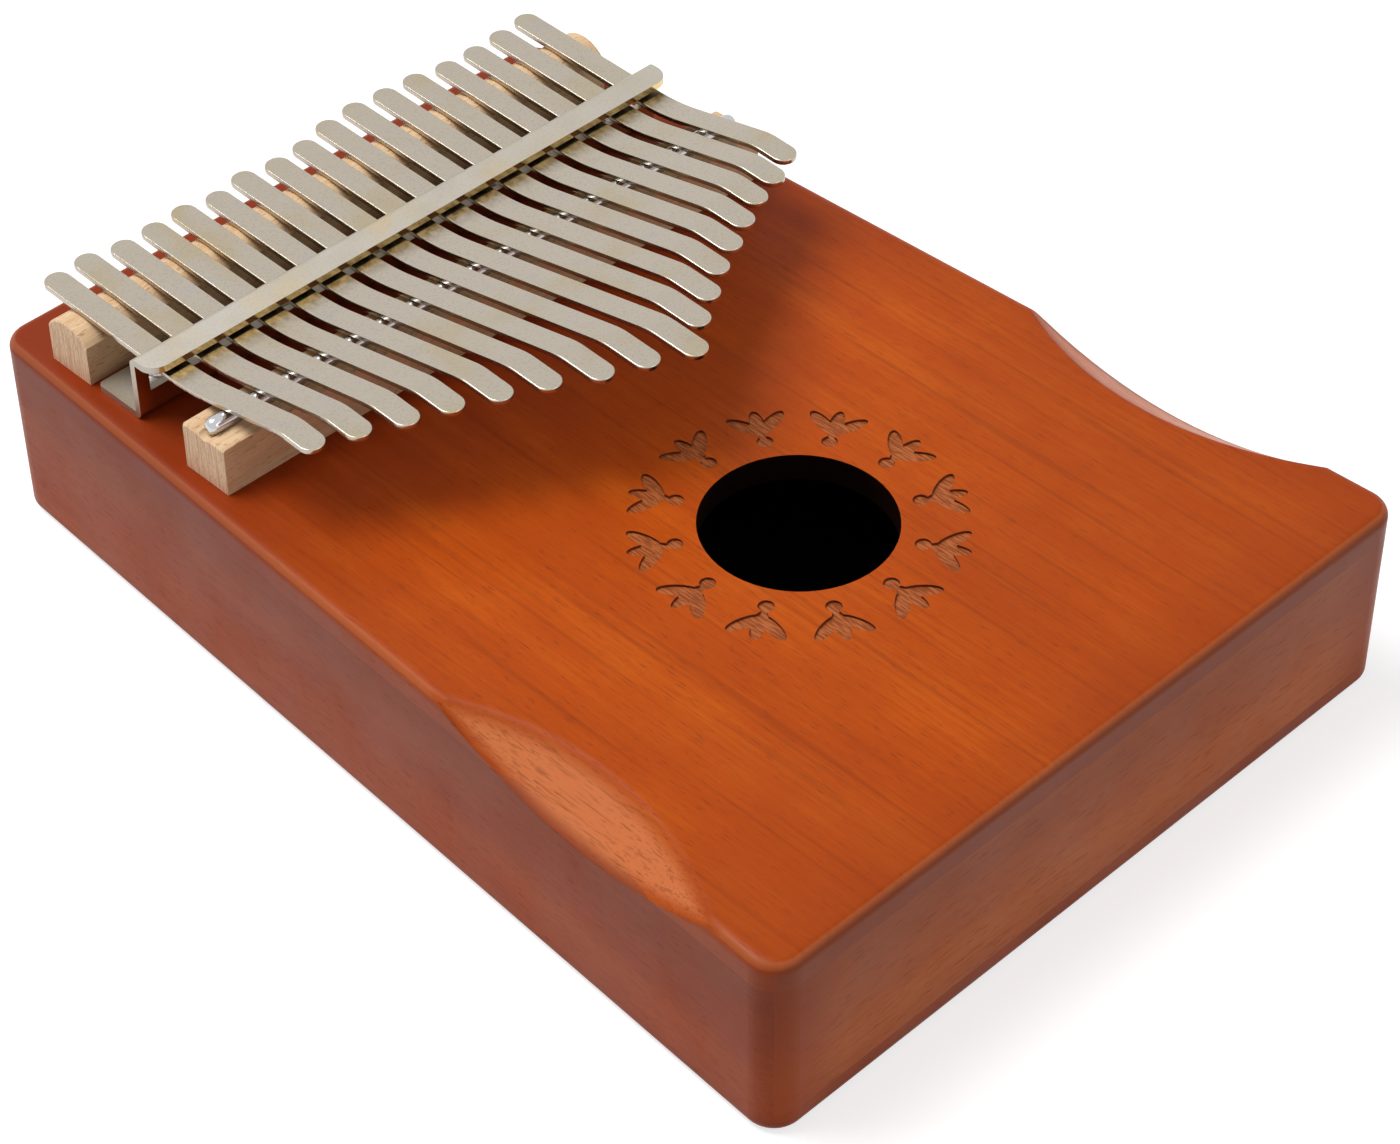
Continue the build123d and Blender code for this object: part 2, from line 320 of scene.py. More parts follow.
def lacquered(material, place, colour, fibres, pores, gloss, specular, eased):
    """Satin lacquer over the wood: fine orange peel, sunken pores, and edges eased by sanding."""
    peel = node(material, "TexNoise", {
        "Vector": node(material, "Mapping", {
            "Vector": place, "Scale": per((1.1 * mm, 1.1 * mm, 1.1 * mm))
        }),
        "Detail": 2.0, **even_noise
    })
    relief = node(material, "Math", {
        0: pores, 1: -0.5,
        2: node(material, "Math", {
            0: peel, 1: 0.5, 2: node(material, "Math", {0: fibres, 1: 0.4}, operation="MULTIPLY")
        }, operation="MULTIPLY_ADD")
    }, operation="MULTIPLY_ADD")
    soft = node(material, "Bevel", {"Radius": eased}, samples=6)
    bumped = node(material, "Bump", {
        "Strength": 0.25, "Distance": 0.06 * mm, "Height": relief, "Normal": soft
    })
    haze = node(material, "TexNoise", {
        "Vector": node(material, "Mapping", {
            "Vector": place, "Scale": per((16 * mm, 16 * mm, 16 * mm))
        }),
        "Detail": 3.0, **even_noise
    })
    rough = node(material, "MapRange", {
        "Value": haze, "From Min": 0.3, "From Max": 0.7, "To Min": gloss - 0.05,
        "To Max": gloss + 0.07
    })
    rough = node(material, "Math", {0: pores, 1: 0.12, 2: rough}, operation="MULTIPLY_ADD")
    node(material, "OutputMaterial", {
        "Surface": node(material, "BsdfPrincipled", {
            "Base Color": colour, "Roughness": rough, "Normal": bumped,
            "Specular IOR Level": specular
        })
    })


def give(name, material):
    """Gives one CAD piece its only material."""
    nodes[name].data.materials.clear()
    nodes[name].data.materials.append(material)


# Top board: the brightest stain, paler scoops partly from a painted sheen, scraped and singed carvings.
material, place, split, facing, colour, fibres, pores = mahogany(
    "mahogany_top_satin_lacquer", 1, "AC4407", "B64B08", "C2580F")
scoops, sunk_by, from_side = scoop_share(material, place, split)
scoops_near = node(material, "MapRange", {
    "Value": node(material, "Math", {0: split["X"]}, operation="ABSOLUTE"), "From Min": 50 * mm,
    "From Max": 52 * mm
}, interpolation_type="SMOOTHSTEP")

# The stain is sprayed darker and redder towards the clamp end and the edges,
# in clouds some 60 mm wide, and settles in grain lines 1.3 mm apart. Under
# and in front of the tongues the darkening towards the clamp end is also painted shade.
clouds = node(material, "TexNoise", {
    "Vector": node(material, "Mapping", {
        "Vector": place, "Scale": per((55 * mm, 80 * mm, 55 * mm))
    }),
    "Detail": 2.0, **even_noise
})
colour = node(material, "Mix", {
    "Factor": node(material, "Math", {
        0: node(material, "MapRange", {
            "Value": clouds, "From Min": 0.44, "From Max": 0.62
        }, interpolation_type="SMOOTHSTEP"),
        1: 0.4
    }, operation="MULTIPLY"),
    "A": colour, "B": linear("A03E10")
}, out="Result", data_type="RGBA")
grain = node(material, "TexNoise", {
    "Vector": node(material, "Mapping", {
        "Vector": place, "Scale": per((1.3 * mm, 90 * mm, 1.3 * mm))
    }),
    "Detail": 2.0, **even_noise
})
colour = node(material, "Mix", {
    "Factor": node(material, "Math", {
        0: node(material, "MapRange", {
            "Value": grain, "From Min": 0.53, "From Max": 0.7
        }, interpolation_type="SMOOTHSTEP"),
        1: 0.26
    }, operation="MULTIPLY"),
    "A": colour, "B": linear("74290A")
}, out="Result", data_type="RGBA")
from_edge = node(material, "Math", {
    0: from_side, 1: node(material, "Math", {0: split["Y"], 1: box_far}, operation="ADD")
}, operation="MINIMUM")
rim = node(material, "MapRange", {
    "Value": from_edge, "From Min": 0.0, "From Max": 15 * mm, "To Min": 1.0, "To Max": 0.0
}, interpolation_type="SMOOTHSTEP")
colour = node(material, "Mix", {
    "Factor": node(material, "Math", {0: rim, 1: 0.35}, operation="MULTIPLY"), "A": colour,
    "B": linear("8C340E")
}, out="Result", data_type="RGBA")
# Painted shade: the darkening towards the clamp end also stands in for the tongues' shade on the top.
burst_and_tongue_shade = node(material, "MapRange", {
    "Value": split["Y"], "From Min": -14 * mm, "From Max": 50 * mm
}, interpolation_type="SMOOTHSTEP")
colour = node(material, "Mix", {
    "Factor": node(material, "Math", {0: burst_and_tongue_shade, 1: 0.85}, operation="MULTIPLY"), "A": colour,
    "B": linear("822C0C")
}, out="Result", data_type="RGBA")
colour = scoop_wood_and_sheen(material, place, colour, fibres, pores, scoops, sunk_by)

# A painted highlight makes the rounded top edge paler all round, except on the scoops.
rolled_edge_highlight = node(material, "Math", {
    0: node(material, "MapRange", {
        "Value": facing["Z"], "From Min": 0.3, "From Max": 0.55
    }, interpolation_type="SMOOTHSTEP"),
    1: node(material, "MapRange", {
        "Value": facing["Z"], "From Min": 0.86, "From Max": 0.97, "To Min": 1.0, "To Max": 0.0
    }, interpolation_type="SMOOTHSTEP")
}, operation="MULTIPLY")
rolled_edge_highlight = node(material, "Math", {
    0: rolled_edge_highlight,
    1: node(material, "MapRange", {
        "Value": sunk_by, "From Min": 0.5 * mm, "From Max": 1.9 * mm, "To Min": 1.0, "To Max": 0.0
    }, interpolation_type="SMOOTHSTEP")
}, operation="MULTIPLY")
rolled_edge_highlight = node(material, "Math", {
    0: rolled_edge_highlight, 1: node(material, "Math", {0: 1.0, 1: scoops}, operation="SUBTRACT")
}, operation="MULTIPLY")
colour = node(material, "Mix", {
    "Factor": node(material, "Math", {0: rolled_edge_highlight, 1: 0.22}, operation="MULTIPLY"), "A": colour,
    "B": linear("D08A60")
}, out="Result", data_type="RGBA")

# The carved ring has a scraped floor, hatched across the grain, and singed sides.
out_from_hole = node(material, "VectorMath", {
    0: node(material, "CombineXYZ", {"X": split["X"], "Y": split["Y"]}),
    1: (0.0, hole_centre.y, 0.0)
}, out="Value", operation="DISTANCE")
sunk = node(material, "MapRange", {
    "Value": split["Z"], "From Min": box_height - 0.1 * mm, "From Max": box_height - 0.02 * mm,
    "To Min": 1.0, "To Max": 0.0
}, interpolation_type="SMOOTHSTEP")
in_ring = node(material, "Math", {
    0: node(material, "MapRange", {
        "Value": out_from_hole, "From Min": hole_radius + 0.3 * mm,
        "From Max": hole_radius + 0.5 * mm
    }, interpolation_type="SMOOTHSTEP"),
    1: node(material, "MapRange", {
        "Value": out_from_hole, "From Min": ring_radius, "From Max": ring_radius + 1 * mm,
        "To Min": 1.0, "To Max": 0.0
    }, interpolation_type="SMOOTHSTEP")
}, operation="MULTIPLY")
carved = node(material, "Math", {0: sunk, 1: in_ring}, operation="MULTIPLY")
upward = node(material, "MapRange", {
    "Value": facing["Z"], "From Min": 0.5, "From Max": 0.8
}, interpolation_type="SMOOTHSTEP")
hatch = node(material, "TexNoise", {
    "Vector": node(material, "Mapping", {
        "Vector": place, "Rotation": (0, 0, math.radians(38)),
        "Scale": per((0.35 * mm, 3.0 * mm, 1.0))
    }),
    "Detail": 2.0, **even_noise
})
scraped = node(material, "Mix", {
    "Factor": node(material, "MapRange", {
        "Value": hatch, "From Min": 0.42, "From Max": 0.6
    }, interpolation_type="SMOOTHSTEP"),
    "A": linear("8A4420"), "B": linear("B46436")
}, out="Result", data_type="RGBA")
singed = node(material, "Mix", {
    "Factor": upward, "A": linear("2A0E06"), "B": scraped
}, out="Result", data_type="RGBA")
colour = node(material, "Mix", {
    "Factor": carved, "A": colour, "B": singed
}, out="Result", data_type="RGBA")

# End grain is greyer from the stain it drinks, and a painted reflection greys the upright faces. The hole's
# wall and the board's inner face are painted dark as shade.
end_grain = node(material, "MapRange", {
    "Value": node(material, "Math", {0: facing["Y"]}, operation="ABSOLUTE"), "From Min": 0.55,
    "From Max": 0.9
}, interpolation_type="SMOOTHSTEP")
colour = node(material, "Mix", {
    "Factor": node(material, "Math", {0: end_grain, 1: 0.55}, operation="MULTIPLY"), "A": colour,
    "B": linear("84442A")
}, out="Result", data_type="RGBA")
# Painted shade: the hole's wall and the board's underside inside the box are painted near black.
hole_wall_shade = node(material, "Math", {
    0: node(material, "MapRange", {
        "Value": out_from_hole, "From Min": hole_radius + 0.1 * mm,
        "From Max": hole_radius + 0.2 * mm, "To Min": 1.0, "To Max": 0.0
    }, interpolation_type="SMOOTHSTEP"),
    1: node(material, "MapRange", {
        "Value": facing["Z"], "From Min": 0.3, "From Max": 0.6, "To Min": 1.0, "To Max": 0.0
    }, interpolation_type="SMOOTHSTEP")
}, operation="MULTIPLY")
# A painted reflection of the pale room greys the upright faces.
upright_sheen = node(material, "MapRange", {
    "Value": facing["Z"], "From Min": 0.1, "From Max": 0.45, "To Min": 1.0, "To Max": 0.0
}, interpolation_type="SMOOTHSTEP")
colour = node(material, "Mix", {
    "Factor": node(material, "Math", {0: upright_sheen, 1: 0.22}, operation="MULTIPLY"), "A": colour,
    "B": linear("945646")
}, out="Result", data_type="RGBA")
underside_shade = node(material, "MapRange", {
    "Value": split["Z"], "From Min": joint_height + 0.05 * mm, "From Max": joint_height + 0.1 * mm,
    "To Min": 1.0, "To Max": 0.0
}, interpolation_type="SMOOTHSTEP")
underside_shade = node(material, "Math", {
    0: underside_shade,
    1: node(material, "MapRange", {
        "Value": facing["Z"], "From Min": -0.9, "From Max": -0.6, "To Min": 1.0, "To Max": 0.0
    }, interpolation_type="SMOOTHSTEP")
}, operation="MULTIPLY")
dark = node(material, "Math", {0: hole_wall_shade, 1: underside_shade}, operation="MAXIMUM")
colour = node(material, "Mix", {
    "Factor": dark, "A": colour, "B": linear("120704")
}, out="Result", data_type="RGBA")

# The board's edges near the long sides look eased by 1.3 mm.
eased = node(material, "Math", {
    0: node(material, "MapRange", {
        "Value": split["Z"], "From Min": joint_height + 0.6 * mm,
        "From Max": joint_height + 2.4 * mm
    }, interpolation_type="SMOOTHSTEP"),
    1: 1.3 * mm
}, operation="MULTIPLY")
eased = node(material, "Math", {0: eased, 1: scoops_near}, operation="MULTIPLY")
lacquered(material, place, colour, fibres, pores, 0.36, 0.11, eased)
give("top_board", material)

# Walls and bottom: the same stain, painted duller and browner on the upright faces as a reflection of the pale
# room.
for names, along, stains_and_sheen in (
        (("side_left", "side_right", "bottom_board"), 1, ("9C3C0E", "A64410", "B04C14")),
        (("end_hole", "end_clamp"), 0, ("BA5A24", "C46228", "CC6C32"))):
    material, place, split, facing, colour, fibres, pores = mahogany(
        "mahogany_wall_satin_lacquer_" + "xy"[along], along, *stains_and_sheen)
    scoops, sunk_by, from_side = scoop_share(material, place, split)

    # The end walls' colours meet the side walls' stain and painted reflection over 12 mm at the mitred
    # corners.
    if along == 0:
        near_corner = node(material, "MapRange", {
            "Value": from_side, "From Min": 4 * mm, "From Max": 16 * mm, "To Min": 1.0,
            "To Max": 0.0
        }, interpolation_type="SMOOTHSTEP")
        colour = node(material, "Mix", {
            "Factor": node(material, "Math", {0: near_corner, 1: 0.85}, operation="MULTIPLY"),
            "A": colour, "B": linear("A64410")
        }, out="Result", data_type="RGBA")

    # A painted reflection of the pale room makes the stain duller towards the top board, and painted shade
    # darkens it at the rounded foot.
    upper_wall_sheen = node(material, "MapRange", {
        "Value": split["Z"], "From Min": 6 * mm, "From Max": joint_height
    }, interpolation_type="SMOOTHSTEP")
    colour = node(material, "Mix", {
        "Factor": node(material, "Math", {0: upper_wall_sheen, 1: 0.5}, operation="MULTIPLY"), "A": colour,
        "B": linear("763A28")
    }, out="Result", data_type="RGBA")
    # Painted shade darkens the faces near the floor.
    foot_shade = node(material, "Math", {
        0: node(material, "MapRange", {
            "Value": split["Z"], "From Min": 0.4 * mm, "From Max": 3.0 * mm, "To Min": 1.0,
            "To Max": 0.0
        }, interpolation_type="SMOOTHSTEP"),
        1: node(material, "MapRange", {
            "Value": facing["Z"], "From Min": -0.97, "From Max": -0.8
        }, interpolation_type="SMOOTHSTEP")
    }, operation="MULTIPLY")
    colour = node(material, "Mix", {
        "Factor": node(material, "Math", {0: foot_shade, 1: 0.45}, operation="MULTIPLY"), "A": colour,
        "B": linear("5A2414")
    }, out="Result", data_type="RGBA")
    colour = scoop_wood_and_sheen(material, place, colour, fibres, pores, scoops, sunk_by)

    # A thin glue line shows under the top board, and the inside is painted dark as shade.
    seam = node(material, "MapRange", {
        "Value": split["Z"], "From Min": joint_height - 0.22 * mm,
        "From Max": joint_height - 0.05 * mm
    }, interpolation_type="SMOOTHSTEP")
    seam = node(material, "Math", {
        0: seam,
        1: node(material, "MapRange", {
            "Value": sunk_by, "From Min": 0.05 * mm, "From Max": 0.3 * mm, "To Min": 1.0,
            "To Max": 0.0
        }, interpolation_type="SMOOTHSTEP")
    }, operation="MULTIPLY")
    colour = node(material, "Mix", {
        "Factor": node(material, "Math", {0: seam, 1: 0.22}, operation="MULTIPLY"), "A": colour,
        "B": linear("4A2012")
    }, out="Result", data_type="RGBA")
    # Painted shade: the box's inner faces are painted near black.
    from_middle = node(material, "VectorMath", {
        0: place, 1: (0.0, 0.0, box_height / 2)
    }, out="Vector", operation="SUBTRACT")
    inner_shade = node(material, "VectorMath", {
        0: node(material, "NewGeometry", {}, out="Normal"), 1: from_middle
    }, out="Value", operation="DOT_PRODUCT")
    inner_shade = node(material, "MapRange", {
        "Value": inner_shade, "From Min": -0.0002, "From Max": 0.0002, "To Min": 1.0, "To Max": 0.0
    }, interpolation_type="SMOOTHSTEP")
    colour = node(material, "Mix", {
        "Factor": inner_shade, "A": colour, "B": linear("120704")
    }, out="Result", data_type="RGBA")

    # Where a scoop reaches the wall, its edge looks eased by 0.3 mm.
    eased = node(material, "Math", {
        0: node(material, "MapRange", {
            "Value": split["Z"], "From Min": joint_height - 2.0 * mm,
            "From Max": joint_height - 0.5 * mm, "To Min": 1.0, "To Max": 0.0
        }, interpolation_type="SMOOTHSTEP"),
        1: 0.3 * mm
    }, operation="MULTIPLY")
    eased = node(material, "Math", {0: eased, 1: scoops}, operation="MULTIPLY")
    lacquered(material, place, colour, fibres, pores, 0.42, 0.14, eased)
    for name in names:
        give(name, material)


# ---- Bridges and screw block --------------------------------------------
# Two bars of plain beech glued to the top, sawn and sanded but not finished,
# and a block of the same wood under the top that the screws bite into.

material, place, normal = blank_material("beech_sanded_bare")
split = node(material, "SeparateXYZ", {"Vector": place}).node.outputs
facing = node(material, "SeparateXYZ", {"Vector": normal}).node.outputs
rings = node(material, "TexNoise", {
    "Vector": node(material, "Mapping", {
        "Vector": place, "Scale": per((60 * mm, 1.6 * mm, 6 * mm))
    }),
    "Detail": 2.0, **even_noise
})
fibres = node(material, "TexNoise", {
    "Vector": node(material, "Mapping", {
        "Vector": place, "Scale": per((7 * mm, 0.35 * mm, 0.35 * mm))
    }),
    "Detail": 3.0, **even_noise
})
rays = node(material, "TexNoise", {
    "Vector": node(material, "Mapping", {
        "Vector": place, "Scale": per((1.6 * mm, 0.45 * mm, 0.3 * mm))
    }),
    "Detail": 1.0, **even_noise
})
figure = node(material, "Math", {
    0: rings, 1: 0.6, 2: node(material, "Math", {0: fibres, 1: 0.4}, operation="MULTIPLY")
}, operation="MULTIPLY_ADD")
ramp = node(material, "ValToRGB", {"Fac": figure})
stops = ramp.node.color_ramp.elements
stops[0].position = 0.35
stops[0].color = linear("CFA67C")
stops[1].position = 0.65
stops[1].color = linear("E7C79E")
colour = node(material, "Mix", {
    "Factor": node(material, "Math", {
        0: node(material, "MapRange", {
            "Value": rays, "From Min": 0.6, "From Max": 0.7
        }, interpolation_type="SMOOTHSTEP"),
        1: 0.55
    }, operation="MULTIPLY"),
    "A": ramp, "B": linear("96683F")
}, out="Result", data_type="RGBA")
end_on = node(material, "MapRange", {
    "Value": node(material, "Math", {0: facing["X"]}, operation="ABSOLUTE"), "From Min": 0.6,
    "From Max": 0.9
}, interpolation_type="SMOOTHSTEP")
dots = node(material, "TexNoise", {
    "Vector": node(material, "Mapping", {
        "Vector": place, "Scale": per((1.0, 0.2 * mm, 0.9 * mm))
    }),
    "Detail": 1.0, **even_noise
})
streaks = node(material, "TexNoise", {
    "Vector": node(material, "Mapping", {
        "Vector": place, "Scale": per((1.0, 0.45 * mm, 7.0 * mm))
    }),
    "Detail": 2.0, **even_noise
})
end_colour = node(material, "Mix", {
    "Factor": node(material, "MapRange", {
        "Value": streaks, "From Min": 0.4, "From Max": 0.62
    }, interpolation_type="SMOOTHSTEP"),
    "A": linear("FFDDBA"), "B": linear("E8BC96")
}, out="Result", data_type="RGBA")
end_colour = node(material, "Mix", {
    "Factor": node(material, "Math", {
        0: node(material, "MapRange", {
            "Value": dots, "From Min": 0.56, "From Max": 0.7
        }, interpolation_type="SMOOTHSTEP"),
        1: 0.5
    }, operation="MULTIPLY"),
    "A": end_colour, "B": linear("9A7052")
}, out="Result", data_type="RGBA")
colour = node(material, "Mix", {
    "Factor": node(material, "Math", {0: end_on, 1: 0.9}, operation="MULTIPLY"), "A": colour,
    "B": end_colour
}, out="Result", data_type="RGBA")
relief = node(material, "Math", {
    0: fibres, 1: 0.6, 2: node(material, "Math", {0: dots, 1: 0.4}, operation="MULTIPLY")
}, operation="MULTIPLY_ADD")
bumped = node(material, "Bump", {"Strength": 0.35, "Distance": 0.08 * mm, "Height": relief})
node(material, "OutputMaterial", {
    "Surface": node(material, "BsdfPrincipled", {
        "Base Color": colour, "Roughness": 0.62, "Normal": bumped, "Specular IOR Level": 0.35
    })
})
give("screw_block", material)


weld = 0.001 * mm
smooth_angle = math.radians(50)
sharp_angle = math.radians(40)
flat_angle = math.radians(0.4)


def eased_copy(name, width, segments, finish):
    """A copy of one CAD piece with its sawn or sheared edges eased by a small round."""
    piece = bpy.data.objects.new(name + "_eased", nodes[name].data.copy())
    bpy.context.scene.collection.objects.link(piece)
    bpy.ops.object.select_all(action="DESELECT")
    piece.select_set(True)
    bpy.context.view_layer.objects.active = piece
    bpy.ops.mesh.customdata_custom_splitnormals_clear()
    bpy.ops.object.mode_set(mode="EDIT")
    bpy.ops.mesh.select_all(action="SELECT")
    bpy.ops.mesh.remove_doubles(threshold=weld)
    bpy.ops.mesh.dissolve_limited(angle_limit=flat_angle)
    bpy.ops.mesh.normals_make_consistent(inside=False)
    bpy.ops.object.mode_set(mode="OBJECT")
    ease = piece.modifiers.new("ease", "BEVEL")
    ease.width = width
    ease.segments = segments
    ease.limit_method = "ANGLE"
    ease.angle_limit = sharp_angle
    bpy.ops.object.modifier_apply(modifier="ease")
    bpy.ops.object.shade_smooth_by_angle(angle=smooth_angle)
    flats = piece.modifiers.new("flats", "WEIGHTED_NORMAL")
    flats.keep_sharp = True
    bpy.ops.object.modifier_apply(modifier="flats")
    piece.data.materials.clear()
    piece.data.materials.append(finish)
    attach(piece, "box")
    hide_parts(name)
    return piece


for name in ("rear_bridge", "front_bridge"):
    eased_copy(name, 0.35 * mm, 2, material)


# ---- Rod -----------------------------------------------------------------
# A drawn steel rod, chromed, with domed ends. It lies in a groove of the
# front bridge, and the tongues rest on it.

material, place, normal = blank_material("chromed_steel_rod")
scratches = node(material, "TexNoise", {
    "Vector": node(material, "Mapping", {
        "Vector": place, "Scale": per((0.12 * mm, 4 * mm, 4 * mm))
    }),
    "Detail": 2.0, **even_noise
})
smears = node(material, "TexNoise", {
    "Vector": node(material, "Mapping", {"Vector": place, "Scale": per((6 * mm, 2 * mm, 2 * mm))}),
    "Detail": 3.0, **even_noise
})
rough = node(material, "MapRange", {
    "Value": smears, "From Min": 0.3, "From Max": 0.7, "To Min": 0.1, "To Max": 0.2
})
bumped = node(material, "Bump", {"Strength": 0.12, "Distance": 0.01 * mm, "Height": scratches})
node(material, "OutputMaterial", {
    "Surface": node(material, "BsdfPrincipled", {
        "Base Color": linear("C4C4C6"), "Metallic": 1.0, "Roughness": rough, "Normal": bumped
    })
})
give("bridge_rod", material)


# ---- Clamp and screws ----------------------------------------------------
# A strip of steel sheet folded to a Z with a window for each tongue, tumbled
# and nickel plated; five zinc plated screws hold its foot to the top.

def nickel(name, colour_hex, low, high, along):
    """Satin nickel plate on tumbled steel: cloudy lustre and faint scratches along one axis."""
    material, place, normal = blank_material(name)
    size = [0.10 * mm, 0.10 * mm, 0.10 * mm]
    size[along] = 9 * mm
    scratches = node(material, "TexNoise", {
        "Vector": node(material, "Mapping", {"Vector": place, "Scale": per(size)}), "Detail": 2.0, **even_noise
    })
    clouds = node(material, "TexNoise", {
        "Vector": node(material, "Mapping", {
            "Vector": place, "Scale": per((5 * mm, 5 * mm, 5 * mm))
        }),
        "Detail": 4.0, **even_noise
    })
    tarnish = node(material, "TexNoise", {
        "Vector": node(material, "Mapping", {
            "Vector": place, "Scale": per((11 * mm, 14 * mm, 11 * mm))
        }),
        "Detail": 2.0, **even_noise
    })
    metal = node(material, "Mix", {
        "Factor": node(material, "MapRange", {
            "Value": tarnish, "From Min": 0.5, "From Max": 0.72
        }, interpolation_type="SMOOTHSTEP"),
        "A": linear(colour_hex), "B": linear("B8AA90")
    }, out="Result", data_type="RGBA")
    metal = node(material, "Mix", {
        "Factor": node(material, "Math", {
            0: node(material, "MapRange", {
                "Value": clouds, "From Min": 0.55, "From Max": 0.75
            }, interpolation_type="SMOOTHSTEP"),
            1: 0.35
        }, operation="MULTIPLY"),
        "A": metal, "B": linear("A6A6AA")
    }, out="Result", data_type="RGBA")
    speckle = node(material, "TexNoise", {
        "Vector": node(material, "Mapping", {
            "Vector": place, "Scale": per((0.45 * mm, 0.45 * mm, 0.45 * mm))
        }),
        "Detail": 2.0, **even_noise
    })
    metal = node(material, "Mix", {
        "Factor": node(material, "Math", {
            0: node(material, "MapRange", {
                "Value": speckle, "From Min": 0.5, "From Max": 0.66
            }, interpolation_type="SMOOTHSTEP"),
            1: 0.3
        }, operation="MULTIPLY"),
        "A": metal, "B": linear("9C948A")
    }, out="Result", data_type="RGBA")
    rough = node(material, "MapRange", {
        "Value": clouds, "From Min": 0.3, "From Max": 0.7, "To Min": low, "To Max": high
    })
    bumped = node(material, "Bump", {"Strength": 0.18, "Distance": 0.012 * mm, "Height": scratches})
    return material, place, normal, metal, rough, bumped


material, place, normal, metal, rough, bumped = nickel(
    "nickel_plate_on_folded_sheet", "B4ADA1", 0.40, 0.50, 0)
facing = node(material, "SeparateXYZ", {"Vector": normal}).node.outputs

# The sheared front edge of the lip is polished smoother, and a painted reflection of the wood makes it more
# golden.
sheared = node(material, "MapRange", {
    "Value": facing["Y"], "From Min": -0.95, "From Max": -0.8, "To Min": 1.0, "To Max": 0.0
}, interpolation_type="SMOOTHSTEP")
# A painted reflection of the wood tints the sheared edge golden.
metal = node(material, "Mix", {
    "Factor": sheared, "A": metal, "B": linear("DCC48E")
}, out="Result", data_type="RGBA")
rough = node(material, "Math", {
    0: rough, 1: node(material, "Math", {0: sheared, 1: -0.68, 2: 1.0}, operation="MULTIPLY_ADD")
}, operation="MULTIPLY")
node(material, "OutputMaterial", {
    "Surface": node(material, "BsdfPrincipled", {
        "Base Color": metal, "Metallic": 1.0, "Roughness": rough, "Normal": bumped
    })
})
eased_copy("clamp", 0.22 * mm, 2, material)

screw_metal, place, normal, metal, rough, bumped = nickel("zinc_plate_on_screws", "C8C8CC", 0.22, 0.34, 1)
node(screw_metal, "OutputMaterial", {
    "Surface": node(screw_metal, "BsdfPrincipled", {
        "Base Color": metal, "Metallic": 1.0, "Roughness": rough, "Normal": bumped
    })
})
give("clamp_screws", screw_metal)


# ---- Tongues -------------------------------------------------------------
# Seventeen blanks of spring steel with round ends, nickel plated, folded
# down at the tip and pressed into a sag by the clamp lip.

tongue_width = 4.5 * mm
tongue_sheet = 1.0 * mm
tongue_edge = 0.20 * mm
tongue_rise = math.tan(math.radians(12.8))
tail_rise = math.tan(math.radians(1.0))
tip_drop = 0.3 * mm
tip_bend = 12.0 * mm
clamp_bend = 40.0 * mm
short_tip = 7.0 * mm
long_tip = 10.0 * mm
shortest_reach = 19.5 * mm
reach_spread = 31.1 * mm
clamp_sheet = 1.2 * mm
lip_gap = 0.7 * mm
bend_steps = 8
strip_parts = 18
end_round = 0.49 * tongue_width
rod_lo, rod_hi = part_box("bridge_rod")
rod_centre = (rod_lo + rod_hi) / 2
rod_radius = (rod_hi.z - rod_lo.z) / 2
rod_gap = 0.145 * mm
lip_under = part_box("clamp")[1].z - clamp_sheet
sag_height = lip_under - tongue_sheet - lip_gap
over_rod = rod_centre.z + (rod_radius + rod_gap) / math.cos(math.atan(tongue_rise))
sag_y = rod_centre.y + (over_rod - sag_height) / tongue_rise


def folded_line(corners, bends):
    """Stations (run along the strip, y, z, slope angle) on a folded line with rounded bends."""
    stations = []
    run = 0.0
    at = Vector(corners[0])
    for i, bend in enumerate(bends + [0.0]):
        here, turn = Vector(corners[i]), Vector(corners[i + 1])
        before = (turn - here).normalized()
        slope = math.atan2(before.y, before.x)
        if i < len(bends):
            after = (Vector(corners[i + 2]) - turn).normalized()
            change = math.atan2(after.y, after.x) - slope
            tangent = bend * math.tan(abs(change) / 2)
        else:
            change, tangent = 0.0, 0.0
        stop = turn - before * tangent
        stations.append((run, at.x, at.y, slope))
        run += (stop - at).length
        stations.append((run, stop.x, stop.y, slope))
        length = bend * abs(change)
        for k in range(bend_steps if change else 0):
            middle = slope + change * (k + 0.5) / bend_steps
            stop = stop + Vector((math.cos(middle), math.sin(middle))) * length / bend_steps
            run += length / bend_steps
            stations.append((run, stop.x, stop.y, slope + change * (k + 1) / bend_steps))
        at = stop
    return stations


